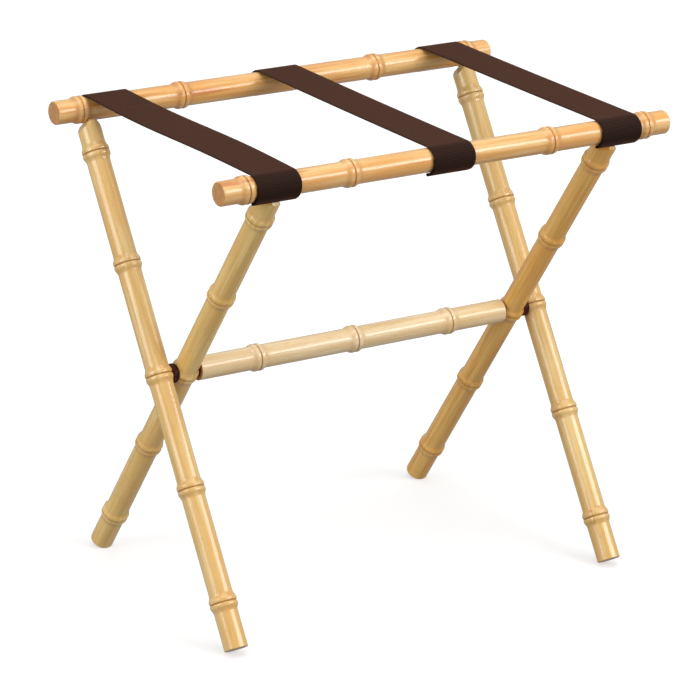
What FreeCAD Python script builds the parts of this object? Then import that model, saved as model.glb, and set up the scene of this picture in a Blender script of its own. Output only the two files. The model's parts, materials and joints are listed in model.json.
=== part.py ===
"""Folding luggage rack: two turned wooden frames that cross at a pivot, and three webbing straps.

Millimetres. +X runs along the rails, -Y is the front, +Z is up. The origin lies on the floor,
under the middle of the pivot line. The outer frame carries the rear rail and stands on its front
feet. The inner frame carries the front rail and stands on its back feet. The rack is drawn open,
with its straps taut.
"""

import FreeCAD, Part
import math
import os

Vector = FreeCAD.Vector
SIDES = {"left": -1, "right": 1}

# Turned bars, made to look like bamboo: a straight bar with a ringed node at each joint
BAR_RADIUS = 12.45
RIDGE_RADIUS = 14.6       # top of the two ridges of a node
RIDGE_OFFSET = 2.9        # from the groove to the top of each ridge
GROOVE_RADIUS = 13.4      # bottom of the V groove between the ridges
LIP_RADIUS = 14.25        # edges of the V groove
LIP_OFFSET = 0.75
SHOULDER_RADIUS = 14.05   # where a ridge turns into the cove beside it
SHOULDER_OFFSET = 5.0
COVE_RADIUS = 13.05       # halfway down the cove
COVE_OFFSET = 7.0
NODE_HALF_LENGTH = 9.6    # from the groove to where the cove runs out

# The open frames
OPEN_ANGLE = 33.0         # between each leg and the vertical
PIVOT_TO_RAIL = 290.0
PIVOT_TO_FOOT = 291.0
LEG_NODE_PITCH = 121.0
LEG_NODES = [LEG_NODE_PITCH * k for k in (-2, -1, 0, 1, 2)]
FOOT_EDGE = 1.0

RAIL_LENGTH = 550.0
RAIL_NODE_PITCH = 123.0
RAIL_NODES = [RAIL_NODE_PITCH * k for k in (-2, -1, 1, 2)]
RAIL_EDGE = 1.8

STRETCHER_NODE_PITCH = 122.0
STRETCHER_NODES = [STRETCHER_NODE_PITCH * k for k in (-1, 0, 1)]
STRETCHER_EDGE = 0.8

# Leg tops: a right-angled wedge, domed from front to back, its crown let a little into the
# underside of the rail and held by a glued dowel
CROWN_TO_RAIL_AXIS = 11.9
DOME_RADIUS = 18.0
GLUE_GAP = 0.05
DOWEL_RADIUS = 4.0
DOWEL_IN_LEG = 24.0
DOWEL_PAST_RAIL_AXIS = 5.0
DOWEL_HOLE_SPARE = 1.0

# Pivot: a blind steel pin through a spacer and a washer, with flat seats cut into the legs
OUTER_LEG_X = 239.0
SEAT_TO_LEG_AXIS = 11.4
SEAT_RADIUS = 10.8
SPACER_RADIUS = 10.3
SPACER_THICKNESS = 7.6
WASHER_RADIUS = 9.0
WASHER_THICKNESS = 2.6
DISC_ROUNDING = 0.3       # of the thickness
RUNNING_GAP = 0.15
PIN_RADIUS = 4.0
PIN_RUNNING_CLEARANCE = 0.08
PIN_PAST_LEG_AXIS = 8.0
PIN_IN_STRETCHER = 30.0
PIN_CHAMFER = 0.6
CUT_PAST_FACE = 1.0       # how far a hole's cutter runs out past the face it opens in

# Straps of flat webbing, laid over both rails and round their outer sides
STRAP_WIDTH = 50.8
STRAP_THICKNESS = 1.5
STRAP_TO_RAIL = 0.8       # room for the staples between the webbing and the rail
STRAP_END_ANGLE = -70.0   # below the horizontal, on the outer side of each rail
STRAPS = {"left": -212.5, "middle": 0.0, "right": 212.5}

STAPLE_ANGLE = -35.0
STAPLE_CROWN = 11.0
STAPLE_WIRE = 1.2
STAPLE_THICKNESS = 0.5
STAPLE_LEG = 9.0
STAPLE_OFFSETS = (-14.0, 14.0)

# Places that follow from the sizes above
LEAN = math.radians(OPEN_ANGLE)
INNER_LEG_X = OUTER_LEG_X - 2 * SEAT_TO_LEG_AXIS - SPACER_THICKNESS - RUNNING_GAP
STRETCHER_HALF = INNER_LEG_X - SEAT_TO_LEG_AXIS - RUNNING_GAP - WASHER_THICKNESS
FOOT_REACH = (PIVOT_TO_FOOT - FOOT_EDGE) * math.cos(LEAN)
FOOT_TILT = (BAR_RADIUS - FOOT_EDGE) * math.sin(LEAN)
PIVOT_HEIGHT = FOOT_REACH + FOOT_TILT + FOOT_EDGE
RAIL_Y = PIVOT_TO_RAIL * math.sin(LEAN)
RAIL_Z = PIVOT_HEIGHT + PIVOT_TO_RAIL * math.cos(LEAN)
CROWN = PIVOT_TO_RAIL - CROWN_TO_RAIL_AXIS


def save(name, shape):
    shape.exportStep("parts/" + name + ".step")


def point(radius, along):
    """A point of a bar's outline: its distance from the axis, and its place along the axis."""
    return Vector(radius, 0, along)


def line(a, b):
    return Part.LineSegment(a, b).toShape()


def arc(a, middle, b):
    return Part.Arc(a, middle, b).toShape()


def node_outline(centre):
    """Edges of one node from below to above: cove, ridge, V groove, ridge, cove."""
    rise = [
        point(BAR_RADIUS, centre - NODE_HALF_LENGTH),
        point(COVE_RADIUS, centre - COVE_OFFSET),
        point(SHOULDER_RADIUS, centre - SHOULDER_OFFSET),
        point(RIDGE_RADIUS, centre - RIDGE_OFFSET),
        point(LIP_RADIUS, centre - LIP_OFFSET),
        point(GROOVE_RADIUS, centre),
    ]
    fall = [point(p.x, 2 * centre - p.z) for p in rise]
    return [
        arc(rise[0], rise[1], rise[2]),
        arc(rise[2], rise[3], rise[4]),
        line(rise[4], rise[5]),
        line(fall[5], fall[4]),
        arc(fall[4], fall[3], fall[2]),
        arc(fall[2], fall[1], fall[0]),
    ]


def end_outline(end, edge, inward):
    """Edges of a bar's end, from the axis out to the side; inward is +1 or -1 along the axis."""
    corner = edge * (1 - math.sqrt(0.5))
    rim = point(BAR_RADIUS - edge, end)
    side = point(BAR_RADIUS, end + inward * edge)
    middle = point(BAR_RADIUS - corner, end + inward * corner)
    return [line(point(0, end), rim), arc(rim, middle, side)]


def turned_bar(low, high, nodes, low_edge, high_edge):
    """A turned bar on the Z axis from low to high, with a node at each given place."""
    edges = end_outline(low, low_edge, 1)
    start = low + low_edge
    for centre in nodes:
        edges.append(line(point(BAR_RADIUS, start), point(BAR_RADIUS, centre - NODE_HALF_LENGTH)))
        edges += node_outline(centre)
        start = centre + NODE_HALF_LENGTH
    edges.append(line(point(BAR_RADIUS, start), point(BAR_RADIUS, high - high_edge)))
    edges += end_outline(high, high_edge, -1)
    edges.append(line(point(0, high), point(0, low)))
    outline = Part.Wire(Part.__sortEdges__(edges))
    return Part.Face(outline).revolve(Vector(0, 0, 0), Vector(0, 0, 1), 360)


def stand_leg(shape, side, lean):
    """Moves a shape from a leg's own frame, pivot at the origin and rail up Z, to its place."""
    placed = shape.copy()
    placed.rotate(Vector(0, 0, 0), Vector(1, 0, 0), -lean * OPEN_ANGLE)
    x = SIDES[side] * (OUTER_LEG_X if lean > 0 else INNER_LEG_X)
    placed.translate(Vector(x, 0, PIVOT_HEIGHT))
    return placed


def lay_rail(shape, lean):
    """Moves a shape from a rail's own frame, rail along Z, to the top of the frame."""
    placed = shape.copy()
    placed.rotate(Vector(0, 0, 0), Vector(0, 1, 0), 90)
    placed.translate(Vector(0, lean * RAIL_Y, RAIL_Z))
    return placed


def across(radius, x_low, x_high):
    """A round bar or hole on the pivot line."""
    return Part.makeCylinder(radius, x_high - x_low, Vector(x_low, 0, PIVOT_HEIGHT), Vector(1, 0, 0))


def mirrored(shape, side):
    """A shape drawn for the right side, or its mirror image for the left side."""
    if side == "right":
        return shape
    return shape.mirror(Vector(0, 0, 0), Vector(1, 0, 0))


def crowned_block(crown):
    """A block around a leg with a right-angled roof, ridge along Y, domed along the ridge.

    Its crown is on the Z axis at the given height.
    """
    half = DOME_RADIUS
    bottom = -PIVOT_TO_FOOT - half
    corners = [
        Vector(-half, -half, bottom),
        Vector(half, -half, bottom),
        Vector(half, -half, crown - half),
        Vector(0, -half, crown),
        Vector(-half, -half, crown - half),
    ]
    roof = Part.Face(Part.makePolygon(corners + corners[:1])).extrude(Vector(0, 2 * half, 0))
    dome = Part.makeCylinder(half, 2 * half, Vector(-half, 0, crown - half), Vector(1, 0, 0))
    body = Part.makeBox(2 * half, 2 * half, crown - half - bottom, Vector(-half, -half, bottom))
    return roof.common(dome.fuse(body))


def leg_dowel(radius, spare):
    """The dowel of a leg top, or its hole, in the leg's own frame."""
    low = CROWN - DOWEL_IN_LEG - spare
    high = PIVOT_TO_RAIL + DOWEL_PAST_RAIL_AXIS + spare
    return Part.makeCylinder(radius, high - low, Vector(0, 0, low))


def seat_cutter(x_seat, outward):
    """Clears the round flat seat of a washer; outward is the side of the seat that is removed."""
    depth = RIDGE_RADIUS
    low, high = sorted((x_seat, x_seat + outward * depth))
    return across(SEAT_RADIUS, low, high)


def leg(side, lean):
    """One leg in its place: lean is +1 for the outer frame and -1 for the inner frame."""
    bar = turned_bar(-PIVOT_TO_FOOT, PIVOT_TO_RAIL, LEG_NODES, FOOT_EDGE, FOOT_EDGE)
    bar = bar.common(crowned_block(CROWN))
    bar = bar.cut(leg_dowel(DOWEL_RADIUS + GLUE_GAP, DOWEL_HOLE_SPARE))
    return stand_leg(bar, side, lean)


def outer_leg(side):
    cutters = [
        seat_cutter(OUTER_LEG_X - SEAT_TO_LEG_AXIS, -1),
        across(PIN_RADIUS + GLUE_GAP, INNER_LEG_X, OUTER_LEG_X + PIN_PAST_LEG_AXIS + GLUE_GAP),
    ]
    shape = leg(side, 1)
    for cutter in cutters:
        shape = shape.cut(mirrored(cutter, side))
    return shape


def inner_leg(side):
    cutters = [
        seat_cutter(INNER_LEG_X + SEAT_TO_LEG_AXIS, 1),
        seat_cutter(INNER_LEG_X - SEAT_TO_LEG_AXIS, -1),
        across(PIN_RADIUS + PIN_RUNNING_CLEARANCE, STRETCHER_HALF, OUTER_LEG_X),
    ]
    shape = leg(side, -1)
    for cutter in cutters:
        shape = shape.cut(mirrored(cutter, side))
    return shape


def dowel(side, lean):
    return stand_leg(leg_dowel(DOWEL_RADIUS, 0), side, lean)


def staple():
    """A staple with its crown along X, its crown's underside at the origin and its legs down Z."""
    corner = Vector(-STAPLE_CROWN / 2, -STAPLE_WIRE / 2, 0)
    shape = Part.makeBox(STAPLE_CROWN, STAPLE_WIRE, STAPLE_THICKNESS, corner)
    for x in (-STAPLE_CROWN / 2, STAPLE_CROWN / 2 - STAPLE_THICKNESS):
        corner = Vector(x, -STAPLE_WIRE / 2, -STAPLE_LEG)
        shape = shape.fuse(Part.makeBox(STAPLE_THICKNESS, STAPLE_WIRE, STAPLE_LEG, corner))
    return shape.removeSplitter()


def staples(strap, lean):
    """The staples that hold one end of a strap to a rail."""
    made = []
    for offset in STAPLE_OFFSETS:
        one = staple()
        one.translate(Vector(STRAPS[strap] + offset, 0, BAR_RADIUS))
        one.rotate(Vector(0, 0, 0), Vector(1, 0, 0), -lean * (90 - STAPLE_ANGLE))
        one.translate(Vector(0, lean * RAIL_Y, RAIL_Z))
        made.append(one)
    return Part.makeCompound(made)


def staple_holes(strap, lean):
    """Square holes for a staple group's legs, a glue gap wider than the wire."""
    width = STAPLE_WIRE + 2 * GLUE_GAP
    thick = STAPLE_THICKNESS + 2 * GLUE_GAP
    holes = []
    for offset in STAPLE_OFFSETS:
        for end in (-1, 1):
            x = STRAPS[strap] + offset + end * (STAPLE_CROWN - STAPLE_THICKNESS) / 2
            low = BAR_RADIUS - STAPLE_LEG - GLUE_GAP
            corner = Vector(x - thick / 2, -width / 2, low)
            hole = Part.makeBox(thick, width, STAPLE_LEG + CUT_PAST_FACE, corner)
            hole.rotate(Vector(0, 0, 0), Vector(1, 0, 0), -lean * (90 - STAPLE_ANGLE))
            hole.translate(Vector(0, lean * RAIL_Y, RAIL_Z))
            holes.append(hole)
    return holes


def rail(lean):
    """The rear rail of the outer frame, lean +1, or the front rail of the inner frame, lean -1."""
    half = RAIL_LENGTH / 2
    shape = lay_rail(turned_bar(-half, half, RAIL_NODES, RAIL_EDGE, RAIL_EDGE), lean)
    for side in SIDES:
        notch = stand_leg(crowned_block(CROWN + GLUE_GAP), side, lean)
        hole = stand_leg(leg_dowel(DOWEL_RADIUS + GLUE_GAP, DOWEL_HOLE_SPARE), side, lean)
        shape = shape.cut(notch).cut(hole)
    for strap in STRAPS:
        for hole in staple_holes(strap, lean):
            shape = shape.cut(hole)
    return shape


def stretcher():
    half = STRETCHER_HALF
    shape = turned_bar(-half, half, STRETCHER_NODES, STRETCHER_EDGE, STRETCHER_EDGE)
    shape.rotate(Vector(0, 0, 0), Vector(0, 1, 0), 90)
    shape.translate(Vector(0, 0, PIVOT_HEIGHT))
    for side in SIDES:
        hole = across(PIN_RADIUS + GLUE_GAP, half - PIN_IN_STRETCHER - GLUE_GAP, half + CUT_PAST_FACE)
        shape = shape.cut(mirrored(hole, side))
    return shape


def pivot_pin(side):
    low = STRETCHER_HALF - PIN_IN_STRETCHER
    pin = across(PIN_RADIUS, low, OUTER_LEG_X + PIN_PAST_LEG_AXIS)
    pin = pin.makeChamfer(PIN_CHAMFER, [e for e in pin.Edges if e.Closed])
    return mirrored(pin, side)


def disc_with_bore(side, radius, x_low, thickness):
    """A disc on the pivot line, glued round the pin, its outer edges rounded."""
    disc = across(radius, x_low, x_low + thickness)
    disc = disc.makeFillet(DISC_ROUNDING * thickness, [e for e in disc.Edges if e.Closed])
    x_high = x_low + thickness
    disc = disc.cut(across(PIN_RADIUS + GLUE_GAP, x_low - CUT_PAST_FACE, x_high + CUT_PAST_FACE))
    return mirrored(disc, side)


def spacer(side):
    """The thick disc between the two legs of one side; it stays with the outer leg."""
    x = OUTER_LEG_X - SEAT_TO_LEG_AXIS - SPACER_THICKNESS
    return disc_with_bore(side, SPACER_RADIUS, x, SPACER_THICKNESS)


def washer(side):
    """The thin disc between the inner leg and the end of the stretcher."""
    return disc_with_bore(side, WASHER_RADIUS, STRETCHER_HALF, WASHER_THICKNESS)


def around_rail(lean, radius, angle):
    """A point beside a rail at x = 0: angle is counted from the outward horizontal, upward."""
    turn = math.radians(angle)
    y = lean * (RAIL_Y + radius * math.cos(turn))
    return Vector(0, y, RAIL_Z + radius * math.sin(turn))


def strap(name):
    """One strap as a closed band: over the front rail, straight across, and over the rear rail."""
    inner = BAR_RADIUS + STRAP_TO_RAIL
    outer = inner + STRAP_THICKNESS
    middle_angle = (90 + STRAP_END_ANGLE) / 2
    edges = []
    for radius in (inner, outer):
        for lean in (-1, 1):
            end = around_rail(lean, radius, STRAP_END_ANGLE)
            middle = around_rail(lean, radius, middle_angle)
            edges.append(arc(end, middle, around_rail(lean, radius, 90)))
        edges.append(line(around_rail(-1, radius, 90), around_rail(1, radius, 90)))
    for lean in (-1, 1):
        ends = [around_rail(lean, radius, STRAP_END_ANGLE) for radius in (inner, outer)]
        edges.append(line(ends[0], ends[1]))
    band = Part.Face(Part.Wire(Part.__sortEdges__(edges))).extrude(Vector(STRAP_WIDTH, 0, 0))
    band.translate(Vector(STRAPS[name] - STRAP_WIDTH / 2, 0, 0))
    return band


def main():
    os.makedirs("parts", exist_ok=True)
    save("rear_rail", rail(1))
    save("front_rail", rail(-1))
    save("stretcher", stretcher())
    for side in SIDES:
        save("outer_leg_" + side, outer_leg(side))
        save("inner_leg_" + side, inner_leg(side))
        save("outer_dowel_" + side, dowel(side, 1))
        save("inner_dowel_" + side, dowel(side, -1))
        save("pivot_pin_" + side, pivot_pin(side))
        save("spacer_" + side, spacer(side))
        save("washer_" + side, washer(side))
    for name in STRAPS:
        save("strap_" + name, strap(name))
        save("rear_staples_" + name, staples(name, 1))
        save("front_staples_" + name, staples(name, -1))


main()
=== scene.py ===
"""Folding luggage rack: the finish of each wooden bar, the webbing, the light and the camera.

Metres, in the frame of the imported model: +X along the rails, -Y the front, +Z up, floor at z = 0.
"""

import json
import math

import bmesh
import bpy
import numpy as np
from mathutils import Euler, Matrix, Vector


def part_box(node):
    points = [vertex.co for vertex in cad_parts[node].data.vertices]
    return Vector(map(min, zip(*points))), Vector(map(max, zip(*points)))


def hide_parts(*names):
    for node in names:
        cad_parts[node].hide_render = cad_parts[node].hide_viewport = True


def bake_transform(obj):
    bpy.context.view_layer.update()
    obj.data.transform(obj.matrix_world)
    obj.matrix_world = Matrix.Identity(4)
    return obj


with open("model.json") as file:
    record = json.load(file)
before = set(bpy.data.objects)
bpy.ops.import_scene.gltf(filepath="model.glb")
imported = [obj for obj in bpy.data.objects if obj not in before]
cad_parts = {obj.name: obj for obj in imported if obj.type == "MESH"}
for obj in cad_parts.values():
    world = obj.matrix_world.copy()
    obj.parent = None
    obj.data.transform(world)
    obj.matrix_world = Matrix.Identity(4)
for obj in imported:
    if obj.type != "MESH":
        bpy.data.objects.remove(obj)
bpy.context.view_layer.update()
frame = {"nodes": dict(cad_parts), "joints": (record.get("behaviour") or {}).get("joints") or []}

MM = 0.001

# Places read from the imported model
JOINT = frame["joints"][0]
PIVOT = Vector(JOINT["pos_m"])
RAIL_LOW, RAIL_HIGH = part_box("rear_rail")
RAIL_Y = (RAIL_LOW[1] + RAIL_HIGH[1]) / 2
RAIL_Z = (RAIL_LOW[2] + RAIL_HIGH[2]) / 2
RAIL_HALF = (RAIL_HIGH[0] - RAIL_LOW[0]) / 2
LEAN = math.atan2(RAIL_Y, RAIL_Z - PIVOT.z)

# Spacing of the turned nodes, and how far a leg reaches below the pivot, as in the CAD
LEG_NODE_PITCH = 121.0 * MM
RAIL_NODE_PITCH = 123.0 * MM
STRETCHER_NODE_PITCH = 122.0 * MM
LEG_BELOW_PIVOT = 291.0 * MM

SIDES = ("left", "right")
STRAPS = ("left", "middle", "right")


# ---------------------------------------------------------------- node materials


class Finish:
    """A material under construction, with short calls for the nodes that the finishes use."""

    def __init__(self, name):
        self.material = bpy.data.materials.new(name)
        self.material.use_nodes = True
        self.tree = self.material.node_tree
        self.tree.nodes.clear()
        self.shader = self.tree.nodes.new("ShaderNodeBsdfPrincipled")
        output = self.tree.nodes.new("ShaderNodeOutputMaterial")
        self.tree.links.new(self.shader.outputs["BSDF"], output.inputs["Surface"])

    def plug(self, value, socket):
        """Links an output to a socket, or sets the socket to a plain value."""
        if isinstance(value, bpy.types.NodeSocket):
            self.tree.links.new(value, socket)
        else:
            socket.default_value = value

    def math(self, operation, a, b=0.0):
        node = self.tree.nodes.new("ShaderNodeMath")
        node.operation = operation
        self.plug(a, node.inputs[0])
        self.plug(b, node.inputs[1])
        return node.outputs[0]

    def wave(self, value, pitch):
        """A cosine wave along value, from 0 to 1, with its crests one pitch apart."""
        turn = self.math("MULTIPLY", value, 2 * math.pi / pitch)
        crest = self.math("MULTIPLY_ADD", self.math("COSINE", turn), 0.5)
        crest.node.inputs[2].default_value = 0.5
        return crest

    def ramp(self, value, low, high, out_low=0.0, out_high=1.0):
        """A smooth step of value between low and high."""
        node = self.tree.nodes.new("ShaderNodeMapRange")
        node.interpolation_type = "SMOOTHSTEP"
        self.plug(value, node.inputs["Value"])
        node.inputs["From Min"].default_value = low
        node.inputs["From Max"].default_value = high
        node.inputs["To Min"].default_value = out_low
        node.inputs["To Max"].default_value = out_high
        return node.outputs["Result"]

    def mix(self, factor, a, b, blend="MIX"):
        node = self.tree.nodes.new("ShaderNodeMix")
        node.data_type = "RGBA"
        node.blend_type = blend
        self.plug(factor, node.inputs["Factor"])
        self.plug(a, node.inputs["A"])
        self.plug(b, node.inputs["B"])
        return node.outputs["Result"]

    def noise(self, vector, scale=1.0, detail=2.0, roughness=0.5):
        node = self.tree.nodes.new("ShaderNodeTexNoise")
        self.plug(vector, node.inputs["Vector"])
        node.inputs["Scale"].default_value = scale
        node.inputs["Detail"].default_value = detail
        node.inputs["Roughness"].default_value = roughness
        return node.outputs["Fac"]

    def place(self, vector, location=(0, 0, 0), rotation=(0, 0, 0), scale=(1, 1, 1)):
        node = self.tree.nodes.new("ShaderNodeMapping")
        self.plug(vector, node.inputs["Vector"])
        node.inputs["Location"].default_value = location
        node.inputs["Rotation"].default_value = rotation
        node.inputs["Scale"].default_value = scale
        return node.outputs["Vector"]

    def split(self, vector):
        node = self.tree.nodes.new("ShaderNodeSeparateXYZ")
        self.plug(vector, node.inputs["Vector"])
        return node.outputs

    def object_point(self):
        return self.tree.nodes.new("ShaderNodeTexCoord").outputs["Object"]

    def uv_point(self):
        return self.tree.nodes.new("ShaderNodeTexCoord").outputs["UV"]

    def bump(self, height, strength, distance):
        node = self.tree.nodes.new("ShaderNodeBump")
        node.inputs["Strength"].default_value = strength
        node.inputs["Distance"].default_value = distance
        self.plug(height, node.inputs["Height"])
        self.plug(node.outputs["Normal"], self.shader.inputs["Normal"])

    def set(self, **values):
        """Sets sockets of the shader; an underscore in a keyword stands for a space."""
        for name, value in values.items():
            self.plug(value, self.shader.inputs[name.replace("_", " ")])


def colour(r, g, b):
    """A linear colour from three sRGB values of 0 to 255."""
    def linear(value):
        share = value / 255
        return share / 12.92 if share <= 0.04045 else ((share + 0.055) / 1.055) ** 2.4

    return (linear(r), linear(g), linear(b), 1.0)


def tones(light, dark, warm, streak, streak_low, glaze_and_shade):
    """The colours of one bar's figure, how rare its streaks are, and how strong its glaze is, which
    is partly painted shade beside the nodes.
    """
    return {
        "light": colour(*light),
        "dark": colour(*dark),
        "warm": colour(*warm),
        "streak": colour(*streak),
        "streak_low": streak_low,
        "glaze_and_shade": glaze_and_shade,
    }


# The bars were not cut from one plank: the rails are the warmest, the stretcher the palest; the inner
# legs' tones also hold painted light and shade
RAIL_WOOD = {
    # The rear rail's glaze is the stronger, darkening its nodes partly as painted shade
    "rear_rail": tones((240, 196, 130), (222, 162, 86), (228, 158, 78), (192, 106, 42), 0.56, 0.60),
    "front_rail": tones((241, 199, 135), (224, 166, 91), (229, 161, 82), (192, 106, 42), 0.57, 0.35),
}
STRETCHER_WOOD = tones((246, 221, 178), (233, 199, 148), (237, 201, 144), (220, 170, 112), 0.62, 0.12)
OUTER_LEG_WOOD = tones((240, 207, 142), (221, 178, 104), (230, 180, 102), (205, 140, 75), 0.60, 0.18)
INNER_LEG_WOOD_AND_PAINTED_LIGHT = {
    # Partly painted light: the left leg's tones are raised as painted light, the right leg's are
    # deeper and more orange as painted shade
    "left": tones((248, 213, 138), (226, 183, 102), (233, 187, 106), (211, 152, 84), 0.61, 0.18),
    "right": tones((249, 199, 110), (229, 167, 74), (236, 171, 78), (211, 141, 64), 0.61, 0.18),
}
LEG_WOOD = {"outer": {side: OUTER_LEG_WOOD for side in SIDES}, "inner": INNER_LEG_WOOD_AND_PAINTED_LIGHT}
GROOVE_COLOUR = colour(166, 102, 46)
GLAZE_AND_SHADE_COLOUR = colour(196, 134, 74)
END_GRAIN = colour(204, 148, 84)
END_RING = colour(180, 124, 68)
PORE_COLOUR = colour(170, 120, 70)

# Distances from a node's groove: the groove's own dark line, then the band that holds the glaze,
# partly painted shade in the coves
GROOVE_FULL = 0.4 * MM
GROOVE_EDGE = 1.2 * MM
GLAZE_SHADE_START = 4.0 * MM
GLAZE_SHADE_FULL = 6.5 * MM
GLAZE_SHADE_FADE = 7.5 * MM
GLAZE_SHADE_END = 12.0 * MM

# Where in the figure the first bar of each kind is cut; each further bar is one place on
RAIL_SEED = 3
STRETCHER_SEED = 7
LEG_SEED = 11


def bar_frame(centre, lean_sign=None):
    """(location, rotation) that take a point to a bar's own frame, with the bar along Z.

    lean_sign is +1 or -1 for a leg of the outer or inner frame, and None for a bar along X.
    """
    if lean_sign is None:
        turn = Euler((0, -math.pi / 2, 0))
    else:
        turn = Euler((lean_sign * LEAN, 0, 0))
    return -(turn.to_matrix() @ Vector(centre)), turn


def lacquered_wood(name, centre, lean_sign, pitch, half_length, wood, seed, empty_middle=False):
    """Turned wood under clear lacquer: figure along the bar, glazed nodes and end grain; the glaze
    beside the nodes is partly painted shade.

    Noise scales are per metre, two across the bar and then one along it.
    """
    f = Finish(name)
    location, turn = bar_frame(centre, lean_sign)
    point = f.place(f.object_point(), location, turn)
    along = f.split(point)[2]
    shift = (seed * 1.7, seed * 2.3, seed * 3.1)

    # Broad figure, fine fibres, short pores, and slow changes of tone
    broad = f.noise(f.place(point, shift, scale=(210, 210, 7)), detail=3.0, roughness=0.62)
    fibre = f.noise(f.place(point, shift, scale=(1900, 1900, 32)), detail=2.0, roughness=0.6)
    pores = f.noise(f.place(point, shift, scale=(1500, 1500, 150)), detail=1.0)
    tone = f.noise(f.place(point, shift, scale=(55, 55, 9)), detail=2.0)
    streak = f.noise(f.place(point, shift, scale=(120, 120, 5.5)), detail=3.0, roughness=0.55)

    base = f.mix(f.ramp(broad, 0.36, 0.66), wood["light"], wood["dark"])
    base = f.mix(f.ramp(tone, 0.42, 0.68, 0.0, 0.75), base, wood["warm"])
    low = wood["streak_low"]
    base = f.mix(f.ramp(streak, low, low + 0.12, 0.0, 0.7), base, wood["streak"])
    base = f.mix(f.ramp(fibre, 0.52, 0.78, 0.0, 0.28), base, wood["dark"], "MULTIPLY")
    base = f.mix(f.ramp(pores, 0.63, 0.74, 0.0, 0.30), base, PORE_COLOUR)

    # Distance from the nearest node's groove
    away = f.math("ADD", along, pitch / 2)
    away = f.math("FLOORED_MODULO", away, pitch)
    away = f.math("ABSOLUTE", f.math("SUBTRACT", away, pitch / 2))
    if empty_middle:
        from_middle = f.math("ABSOLUTE", along)
        away = f.math("ADD", away, f.math("LESS_THAN", from_middle, pitch / 2))
    # Glaze in the coves beside each node, partly real and partly painted shade
    glaze_and_shade = f.math(
        "MULTIPLY",
        f.ramp(away, GLAZE_SHADE_START, GLAZE_SHADE_FULL),
        f.ramp(away, GLAZE_SHADE_FADE, GLAZE_SHADE_END, 1.0, 0.0),
    )
    base = f.mix(f.math("MULTIPLY", glaze_and_shade, wood["glaze_and_shade"]), base, GLAZE_AND_SHADE_COLOUR)
    groove = f.ramp(away, GROOVE_FULL, GROOVE_EDGE, 1.0, 0.0)
    base = f.mix(f.math("MULTIPLY", groove, 0.65), base, GROOVE_COLOUR)

    # End grain on the flat ends
    end = f.ramp(f.math("ABSOLUTE", along), half_length - 0.5 * MM, half_length - 0.2 * MM)
    rings = f.noise(f.place(point, shift, scale=(170, 700, 60)), detail=3.0)
    grain = f.mix(f.ramp(rings, 0.4, 0.65), END_GRAIN, END_RING)
    base = f.mix(end, base, grain)

    rough = f.ramp(fibre, 0.3, 0.7, 0.34, 0.46)
    rough = f.math("ADD", rough, f.math("MULTIPLY", end, 0.2))
    f.set(Base_Color=base, Roughness=rough)
    f.set(Coat_Weight=0.85, Coat_Roughness=0.15, IOR=1.5, Specular_IOR_Level=0.4)
    height = f.math("ADD", fibre, f.math("MULTIPLY", pores, 0.6))
    f.bump(height, 0.10, 0.15 * MM)
    return f.material


def stained_wood(name, light, dark, roughness):
    """Small turned discs in dark stained wood or fibre, with a mottled satin surface."""
    f = Finish(name)
    point = f.object_point()
    mottle = f.noise(point, 260.0, 3.0, 0.6)
    fibre = f.noise(f.place(point, scale=(240, 2400, 2400)), detail=2.0)
    base = f.mix(f.ramp(mottle, 0.35, 0.7), dark, light)
    base = f.mix(f.ramp(fibre, 0.5, 0.75, 0.0, 0.4), base, dark)
    f.set(Base_Color=base, Roughness=f.ramp(mottle, 0.3, 0.7, roughness - 0.06, roughness + 0.08))
    f.set(Coat_Weight=0.03, Coat_Roughness=0.3, Specular_IOR_Level=0.15)
    f.bump(fibre, 0.15, 0.1 * MM)
    return f.material


def bare_beech():
    """Unfinished beech of the dowels."""
    f = Finish("bare_beech")
    fibre = f.noise(f.place(f.object_point(), scale=(1800, 1800, 90)), detail=2.0)
    base = f.mix(f.ramp(fibre, 0.35, 0.7), colour(222, 190, 148), colour(196, 156, 110))
    f.set(Base_Color=base, Roughness=0.6)
    f.bump(fibre, 0.15, 0.1 * MM)
    return f.material


def drawn_steel(name, tint):
    """Steel pins and staples: fine scratches, a little colour change."""
    f = Finish(name)
    scratch = f.noise(f.place(f.object_point(), scale=(60, 3000, 3000)), detail=2.0)
    base = f.mix(f.ramp(scratch, 0.4, 0.65), tint, colour(140, 140, 143))
    f.set(Base_Color=base, Metallic=1.0, Roughness=f.ramp(scratch, 0.3, 0.7, 0.22, 0.4))
    return f.material


# ---------------------------------------------------------------- webbing

RIB_PITCH = 2.1 * MM
RIB_HEIGHT = 0.11 * MM
ROWS_PER_RIB = 4
YARN_PITCH = 0.9 * MM
WEB_THICKNESS = 1.3 * MM
WEB_COLUMNS = 16
EDGE_POINTS = 3

# A strap's middle line round a rail, as distances from the rail's middle
TOP_RADIUS = 13.9 * MM        # over the top
OUTER_LAYER = 15.15 * MM      # the outer layer, where the hem doubles it
INNER_LAYER = 13.6 * MM       # the folded layer, next to the rail
HEM_BULGE = 0.6 * MM          # how much further out the outer layer is at the hem

# Places round a rail, in degrees above its outward horizontal
LIFT_TOP = 30.0               # where a strap starts to stand off its rail
HEM_TOP = 20.0                # where the folded layer starts
REAR_END = -66.0              # the hem of every strap on the rear rail
FRONT_END = -72.0             # the hem on the front rail, above a leg
FREE_FRONT_END = -80.0        # the hem on the front rail, with no leg below

# Stretches round a rail, in degrees
OUTER_FADE = 38.0             # above HEM_TOP, where the outer layer comes in to TOP_RADIUS
HEM_BULGE_SPAN = 12.0         # above the hem, where it swells

# Steps and tolerances of the middle line
WRAP_STEP = 0.25              # degrees round a rail
ROLL_STEP = 6                 # degrees round the roll of the hem
SPAN_STEP = 0.25 * MM
SAME_POINT = 1e-7             # metres: points this close are one
TOP_TOLERANCE = 0.1 * MM      # how far below the top still counts as on top

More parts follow.
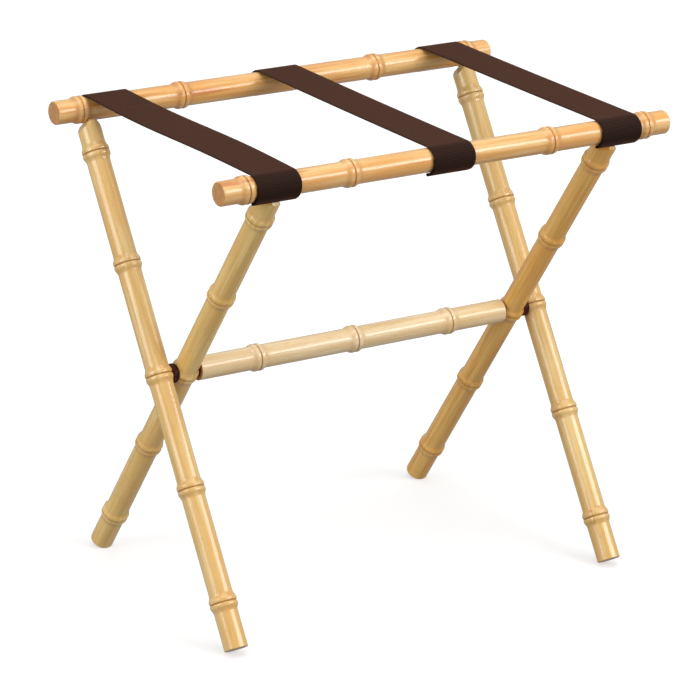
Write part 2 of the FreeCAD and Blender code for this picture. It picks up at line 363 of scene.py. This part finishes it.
# Each end piece of a strap reaches past its rail's top by END_REACH; the middle piece takes the rest
END_REACH = 55.0 * MM

# Painted shade on the webbing below the rails, by distance from a strap's middle: up to the
# first there is none; past the second, below the rails, it is at its darkest
UNDER_RAIL_SHADE_START = RAIL_Y + 19.0 * MM
UNDER_RAIL_SHADE_FULL = RAIL_Y + 36.0 * MM

# Painted shade: the rib valleys, and faintly the gaps between yarns, are darker than the rib tops
WEB_VALLEY_SHADE = colour(12, 7, 5)
WEB_RIB = colour(51, 31, 23)
WEB_YARN_GAP_SHADE = colour(32, 20, 16)
WEB_FUZZ = colour(62, 40, 30)
WEB_PATCH = colour(40, 25, 20)
# Painted shade: the colour the webbing is darkened towards below the rails
WEB_UNDER_RAIL_SHADE = colour(8, 4, 3)
WEB_SHEEN = colour(214, 140, 104)


def strap_shape(end, bow, skew, wave=0.0, lift=0.0):
    """How one strap lies: the place of its front hem in degrees, and the rest in millimetres.

    bow is how far its left and right edges rise in the middle of the span. skew is how far its
    front end lies to the right. wave is how far it dips in its rear half and rises in its front
    half. lift is how much further its outer layer stands off the rails at the hems.
    """
    return {
        "end": end,
        "bow": (bow[0] * MM, bow[1] * MM),
        "skew": skew * MM,
        "wave": wave * MM,
        "lift": lift * MM,
    }


STRAP_SHAPES = {
    "left": strap_shape(FRONT_END, (-1.6, 0.3), -0.5, wave=1.2, lift=0.3),
    "middle": strap_shape(FREE_FRONT_END, (-0.5, -0.5), -3.5),
    "right": strap_shape(FRONT_END, (-0.4, -0.4), -3.5),
}


def webbing_finish():
    """Ribbed dark brown webbing: weft ribs across the strap, fine warp yarns along it; painted shade
    darkens the rib valleys, the gaps between yarns and the webbing below the rails.
    """
    f = Finish("webbing_brown")
    point = f.uv_point()
    across, along, _ = f.split(point)
    rib = f.wave(along, RIB_PITCH)
    yarn = f.wave(across, YARN_PITCH)
    fuzz = f.noise(f.place(point, scale=(2600, 2600, 1)), detail=2.0)
    patch = f.noise(f.place(point, scale=(70, 30, 1)), detail=2.0)

    # Painted shade in the valleys between ribs and, faintly, between the warp yarns
    base = f.mix(f.ramp(rib, 0.05, 0.85), WEB_VALLEY_SHADE, WEB_RIB)
    base = f.mix(f.ramp(yarn, 0.2, 0.9, 0.15, 0.0), base, WEB_YARN_GAP_SHADE)
    base = f.mix(f.ramp(fuzz, 0.55, 0.8, 0.0, 0.35), base, WEB_FUZZ)
    base = f.mix(f.ramp(patch, 0.4, 0.7, 0.0, 0.25), base, WEB_PATCH)
    # Painted shade: the webbing darkens away from its middle, below the rails
    from_middle = f.math("ABSOLUTE", along)
    under_rail_shade = f.ramp(from_middle, UNDER_RAIL_SHADE_START, UNDER_RAIL_SHADE_FULL, 0.0, 0.8)
    base = f.mix(under_rail_shade, base, WEB_UNDER_RAIL_SHADE)
    f.set(Base_Color=base, Roughness=0.85, Sheen_Weight=0.24, Sheen_Roughness=0.45)
    f.set(Sheen_Tint=WEB_SHEEN)
    f.set(Specular_IOR_Level=0.12)
    height = f.math("ADD", f.math("MULTIPLY", rib, 0.7), f.math("MULTIPLY", yarn, 0.5))
    f.bump(height, 0.5, 0.12 * MM)
    return f.material


def smooth(value):
    """A smooth step from 0 to 1."""
    value = min(1.0, max(0.0, value))
    return value * value * (3 - 2 * value)


def around(lean, radius, degrees):
    """(y, z) beside a rail: degrees are counted from the outward horizontal, upward."""
    turn = math.radians(degrees)
    return (lean * (RAIL_Y + radius * math.cos(turn)), RAIL_Z + radius * math.sin(turn))


def wrap_line(lean, end, lift):
    """The web's middle line round one rail: folded layer, hem roll, outer layer, up to the top."""
    line = []
    roll_radius = (OUTER_LAYER + lift + HEM_BULGE - INNER_LAYER) / 2
    roll_middle = INNER_LAYER + roll_radius
    for degrees in np.arange(HEM_TOP, end, -WRAP_STEP):
        line.append(around(lean, INNER_LAYER, degrees))
    for degrees in range(0, 180 + 1, ROLL_STEP):
        turn = math.radians(degrees)
        radius = roll_middle - roll_radius * math.cos(turn)
        past = math.degrees(roll_radius * math.sin(turn) / roll_middle)
        line.append(around(lean, radius, end - past))
    for degrees in np.arange(end, 90, WRAP_STEP):
        doubled = smooth((HEM_TOP + OUTER_FADE - degrees) / OUTER_FADE)
        radius = TOP_RADIUS + (OUTER_LAYER - TOP_RADIUS) * doubled
        radius += lift * smooth((LIFT_TOP - degrees) / (LIFT_TOP - end))
        radius += HEM_BULGE * smooth((end + HEM_BULGE_SPAN - degrees) / HEM_BULGE_SPAN)
        line.append(around(lean, radius, degrees))
    return line


def web_line(shape):
    """The whole middle line as (y, z) points, from the rear hem to the front hem."""
    rear = wrap_line(1, REAR_END, shape["lift"])
    front = wrap_line(-1, shape["end"], shape["lift"])
    top = RAIL_Z + TOP_RADIUS
    span = [(y, top) for y in np.arange(RAIL_Y, -RAIL_Y, -SPAN_STEP)]
    return np.array(rear + span + front[::-1])


def even_rows(line, step):
    """Points at even steps along a line, with their distance along it."""
    keep = np.r_[True, np.hypot(*np.diff(line, axis=0).T) > SAME_POINT]
    line = line[keep]
    along = np.r_[0, np.cumsum(np.hypot(*np.diff(line, axis=0).T))]
    rows = np.arange(0, along[-1], step)
    points = np.column_stack([np.interp(rows, along, line[:, k]) for k in (0, 1)])
    return rows, points


def over_the_top(middle):
    """Whether each point of a middle line is as high as the tops of the rails."""
    return middle[:, 1] > RAIL_Z + TOP_RADIUS - TOP_TOLERANCE


def cross_section(width):
    """(across, height, face) round the web's section: height is -1 to 1, face is 1 on a flat."""
    half = width / 2
    inset = WEB_THICKNESS / 2
    flat = np.linspace(-half + inset, half - inset, WEB_COLUMNS)
    turns = np.pi * np.arange(1, EDGE_POINTS + 1) / (EDGE_POINTS + 1)
    section = [(x, 1.0, 1.0) for x in flat]
    section += [(half - inset + inset * math.sin(t), math.cos(t), 0.0) for t in turns]
    section += [(x, -1.0, 1.0) for x in flat[::-1]]
    section += [(-half + inset - inset * math.sin(t), -math.cos(t), 0.0) for t in turns]
    return np.array(section)


def web_points(shape, centre, width):
    """(distance along, middle line, points by row and section place, section) of a whole strap."""
    rows, middle = even_rows(web_line(shape), RIB_PITCH / ROWS_PER_RIB)
    slope = np.gradient(middle, axis=0)
    slope /= np.hypot(*slope.T)[:, None]
    # The line runs from the rear to the front, towards -Y, so its normal has to point up on top
    normal = np.column_stack([slope[:, 1], -slope[:, 0]])
    section = cross_section(width)
    across, height, face = section.T
    rib = RIB_HEIGHT * np.cos(2 * np.pi * rows / RIB_PITCH)
    offset = height[None, :] * (WEB_THICKNESS / 2 + rib[:, None] * face[None, :])
    y = middle[:, 0][:, None] + normal[:, 0][:, None] * offset
    z = middle[:, 1][:, None] + normal[:, 1][:, None] * offset
    # How far each row is from the rear rail's top to the front rail's, 0 to 1
    t = np.clip((RAIL_Y - middle[:, 0]) / (2 * RAIL_Y), 0, 1)
    x = centre + across[None, :] + (shape["skew"] * t)[:, None]
    # Bow and wave of a strap that isn't quite taut, between the tops of the rails
    on_top = over_the_top(middle)[:, None]
    share = (across / width + 0.5)[None, :]
    bow = shape["bow"][0] * (1 - share) + shape["bow"][1] * share
    drop = bow * np.sin(np.pi * t)[:, None] - shape["wave"] * np.sin(2 * np.pi * t)[:, None]
    z = z + drop * on_top
    return rows, middle, np.stack([x, y, z], axis=2), section


def web_piece(name, rows, points, section, finish):
    """One closed piece of webbing from rows of section points."""
    count, around_count = points.shape[:2]
    faces = []
    for r in range(count - 1):
        for k in range(around_count):
            nxt = (k + 1) % around_count
            a, b = r * around_count, (r + 1) * around_count
            faces.append((a + k, a + nxt, b + nxt, b + k))
    faces.append(tuple(range(around_count - 1, -1, -1)))
    last = (count - 1) * around_count
    faces.append(tuple(range(last, last + around_count)))
    mesh = bpy.data.meshes.new(name)
    mesh.from_pydata(points.reshape(-1, 3).tolist(), [], faces)
    uv = mesh.uv_layers.new(name="webbing")
    u = np.tile(section[:, 0], count)
    v = np.repeat(rows, around_count)
    corner = np.array([loop.vertex_index for loop in mesh.loops])
    uv.data.foreach_set("uv", np.column_stack([u[corner], v[corner]]).ravel())
    smooth_faces = np.ones(len(mesh.polygons), dtype=bool)
    smooth_faces[-2:] = False
    mesh.polygons.foreach_set("use_smooth", smooth_faces)
    mesh.materials.append(finish)
    mesh.update()
    piece = bpy.data.objects.new(name, mesh)
    bpy.context.scene.collection.objects.link(piece)
    return piece


def strap(name, finish):
    """A strap in three pieces that meet edge to edge."""
    low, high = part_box("strap_" + name)
    centre, width = (low[0] + high[0]) / 2, high[0] - low[0]
    rows, middle, points, section = web_points(STRAP_SHAPES[name], centre, width)
    # Distances are counted from the rib nearest the strap's middle
    rows = rows - RIB_PITCH * round(rows[-1] / 2 / RIB_PITCH)
    on_top = over_the_top(middle)
    ahead = RAIL_Y - middle[:, 0]
    span = 2 * RAIL_Y
    first = int(np.argmax(on_top & (ahead > END_REACH)))
    last = int(len(ahead) - 1 - np.argmax((on_top & (ahead < span - END_REACH))[::-1]))
    # Odd rows lie on the flank of a rib, where a cut doesn't show
    first += 1 - first % 2
    last -= 1 - last % 2
    cuts = {"rear": (0, first + 1), "span": (first, last + 1), "front": (last, len(rows))}
    for part, (start, stop) in cuts.items():
        piece = web_piece(
            f"strap_{name}_{part}", rows[start:stop], points[start:stop], section, finish
        )
        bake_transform(piece)
        if part == "span":
            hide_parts("strap_" + name)


# ---------------------------------------------------------------- CAD nodes


def paint(node, material):
    """Gives a CAD node its material in every slot."""
    piece = frame["nodes"][node]
    if not piece.material_slots:
        piece.data.materials.append(material)
    for slot in piece.material_slots:
        slot.material = material


def finish_rails():
    for number, (node, lean) in enumerate({"rear_rail": 1, "front_rail": -1}.items()):
        centre = (0, lean * RAIL_Y, RAIL_Z)
        paint(node, lacquered_wood(
            node + "_wood", centre, None, RAIL_NODE_PITCH, RAIL_HALF, RAIL_WOOD[node],
            RAIL_SEED + number, empty_middle=True,
        ))


def finish_stretcher():
    low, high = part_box("stretcher")
    paint("stretcher", lacquered_wood(
        "stretcher_wood", PIVOT, None, STRETCHER_NODE_PITCH, (high[0] - low[0]) / 2,
        STRETCHER_WOOD, STRETCHER_SEED,
    ))


def finish_legs():
    for number, (frame_name, lean) in enumerate({"outer": 1, "inner": -1}.items()):
        for side in SIDES:
            node = f"{frame_name}_leg_{side}"
            low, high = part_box(node)
            centre = ((low[0] + high[0]) / 2, PIVOT.y, PIVOT.z)
            seed = LEG_SEED + len(SIDES) * number + SIDES.index(side)
            paint(node, lacquered_wood(
                node + "_wood", centre, lean, LEG_NODE_PITCH, LEG_BELOW_PIVOT,
                LEG_WOOD[frame_name][side], seed,
            ))


def finish_fittings():
    beech = bare_beech()
    pin = drawn_steel("pin_steel", colour(190, 190, 192))
    wire = drawn_steel("staple_wire", colour(176, 178, 180))
    spacer = stained_wood("spacer_stain", colour(92, 36, 28), colour(46, 16, 14), 0.6)
    fibre = stained_wood("washer_fibre", colour(92, 44, 34), colour(52, 22, 18), 0.5)
    for side in SIDES:
        paint("outer_dowel_" + side, beech)
        paint("inner_dowel_" + side, beech)
        paint("pivot_pin_" + side, pin)
        paint("spacer_" + side, spacer)
        paint("washer_" + side, fibre)
    for name in STRAPS:
        paint("rear_staples_" + name, wire)
        paint("front_staples_" + name, wire)


# ---------------------------------------------------------------- studio


CAMERA_AZIMUTH = -35.01
CAMERA_ELEVATION = 19.51
CAMERA_ROLL = 2.215
CAMERA_PLACE = Vector((-2.1807, -3.1104, 1.5838))
CAMERA_LENS = 195.8
SENSOR_WIDTH = 36.0
CAMERA_REACH = 50.0
FLOOR_SIZE = 30.0
BACKDROP_RADIUS = 14.0
BACKDROP_SEGMENTS = 48
BACKDROP_RINGS = 24
WHITE = (1, 1, 1, 1)
BLACK = (0, 0, 0, 1)

# Where the softboxes point, and for each its azimuth, elevation, distance, size and power
LIGHT_AIM = Vector((0, 0, 0.3))
SOFTBOXES = {
    "key": (32, 27, 3.0, (2.3, 0.8), 42),
    "left": (-86, 20, 3.2, (1.6, 2.0), 40),
    "top": (0, 80, 2.6, (2.2, 1.8), 28),
}

# The sky's strength against the height of the direction it comes from, -1 to 1
SKY_STEP = {"From Min": -0.5, "From Max": 0.4, "To Min": 0.30, "To Max": 0.5}

# The floor's own glow, near the rack and away from it, and the distances between which it changes
FLOOR_GLOW_NEAR = 0.55
FLOOR_GLOW_AWAY = 0.7
FLOOR_GLOW_START = 0.1
FLOOR_GLOW_STOP = 1.6


def direction(azimuth, elevation):
    """Unit vector from the object: azimuth 0 is the front, positive to the right."""
    a, e = math.radians(azimuth), math.radians(elevation)
    return Vector((math.sin(a) * math.cos(e), -math.cos(a) * math.cos(e), math.sin(e)))


def add_camera():
    camera = bpy.data.objects.new("camera", bpy.data.cameras.new("camera"))
    camera.data.lens = CAMERA_LENS
    camera.data.sensor_width = SENSOR_WIDTH
    camera.data.clip_end = CAMERA_REACH
    back = direction(CAMERA_AZIMUTH, CAMERA_ELEVATION)
    right = Vector((0, 0, 1)).cross(back).normalized()
    up = back.cross(right)
    roll = math.radians(CAMERA_ROLL)
    turned_right = right * math.cos(roll) + up * math.sin(roll)
    turned_up = up * math.cos(roll) - right * math.sin(roll)
    camera.matrix_world = Matrix((
        (turned_right.x, turned_up.x, back.x, CAMERA_PLACE.x),
        (turned_right.y, turned_up.y, back.y, CAMERA_PLACE.y),
        (turned_right.z, turned_up.z, back.z, CAMERA_PLACE.z),
        (0, 0, 0, 1),
    ))
    bpy.context.scene.collection.objects.link(camera)
    bpy.context.scene.camera = camera


def add_softbox(name, azimuth, elevation, distance, size, power):
    """A rectangular area light that faces the middle of the rack."""
    data = bpy.data.lights.new(name, "AREA")
    data.shape = "RECTANGLE"
    data.size, data.size_y = size
    data.energy = power
    light = bpy.data.objects.new(name, data)
    aim = direction(azimuth, elevation)
    light.location = LIGHT_AIM + aim * distance
    light.rotation_euler = aim.to_track_quat("Z", "Y").to_euler()
    bpy.context.scene.collection.objects.link(light)


def add_scenery(name, mesh, finish):
    """A piece of the studio that the camera sees, and that neither lights nor shades the rack."""
    mesh.materials.append(finish.material)
    scenery = bpy.data.objects.new(name, mesh)
    scenery.visible_diffuse = False
    scenery.visible_glossy = False
    scenery.visible_shadow = False
    bpy.context.scene.collection.objects.link(scenery)
    return scenery


def add_floor():
    """A white floor with a glow of its own."""
    mesh = bpy.data.meshes.new("floor")
    half = FLOOR_SIZE / 2
    corners = [(-half, -half, 0), (half, -half, 0), (half, half, 0), (-half, half, 0)]
    mesh.from_pydata(corners, [], [(0, 1, 2, 3)])
    f = Finish("floor_white")
    grain = f.noise(f.object_point(), 900.0, 2.0)
    base = f.mix(f.ramp(grain, 0.3, 0.7), colour(190, 190, 190), colour(188, 188, 188))
    f.set(Base_Color=base, Roughness=0.9, Specular_IOR_Level=0.1)
    x, y, _ = f.split(f.object_point())
    away = f.math("SQRT", f.math("ADD", f.math("MULTIPLY", x, x), f.math("MULTIPLY", y, y)))
    glow = f.ramp(away, FLOOR_GLOW_START, FLOOR_GLOW_STOP, FLOOR_GLOW_NEAR, FLOOR_GLOW_AWAY)
    f.set(Emission_Color=WHITE, Emission_Strength=glow)
    floor = add_scenery("floor", mesh, f)


def add_backdrop():
    """A white dome round the studio that only the camera sees."""
    shape = bmesh.new()
    bmesh.ops.create_uvsphere(
        shape, u_segments=BACKDROP_SEGMENTS, v_segments=BACKDROP_RINGS, radius=BACKDROP_RADIUS
    )
    mesh = bpy.data.meshes.new("backdrop")
    shape.to_mesh(mesh)
    shape.free()
    f = Finish("backdrop_white")
    grain = f.noise(f.object_point(), 3.0, 2.0)
    f.set(Base_Color=BLACK, Roughness=1.0, Specular_IOR_Level=0.0)
    f.set(Emission_Color=WHITE, Emission_Strength=f.ramp(grain, 0.3, 0.7, 1.0, 1.03))
    backdrop = add_scenery("backdrop", mesh, f)


def add_sky():
    """A white world whose strength steps up from below to above."""
    world = bpy.data.worlds.new("studio")
    world.use_nodes = True
    nodes = world.node_tree.nodes
    background = nodes["Background"]
    background.inputs["Color"].default_value = WHITE
    toward = nodes.new("ShaderNodeTexCoord").outputs["Generated"]
    split = nodes.new("ShaderNodeSeparateXYZ")
    glow = nodes.new("ShaderNodeMapRange")
    glow.interpolation_type = "SMOOTHSTEP"
    for name, value in SKY_STEP.items():
        glow.inputs[name].default_value = value
    world.node_tree.links.new(toward, split.inputs["Vector"])
    world.node_tree.links.new(split.outputs["Z"], glow.inputs["Value"])
    world.node_tree.links.new(glow.outputs["Result"], background.inputs["Strength"])
    bpy.context.scene.world = world


def set_plain_view():
    """Shows colours as they are, with no film look."""
    view = bpy.context.scene.view_settings
    view.view_transform = "Standard"
    view.look = "None"
    view.exposure = 0.0
    view.gamma = 1.0


def add_studio():
    add_sky()
    set_plain_view()
    for name, placing in SOFTBOXES.items():
        add_softbox(name, *placing)
    add_floor()
    add_backdrop()
    add_camera()


def main():
    finish_rails()
    finish_stretcher()
    finish_legs()
    finish_fittings()
    webbing = webbing_finish()
    for name in STRAPS:
        strap(name, webbing)
    add_studio()


main()
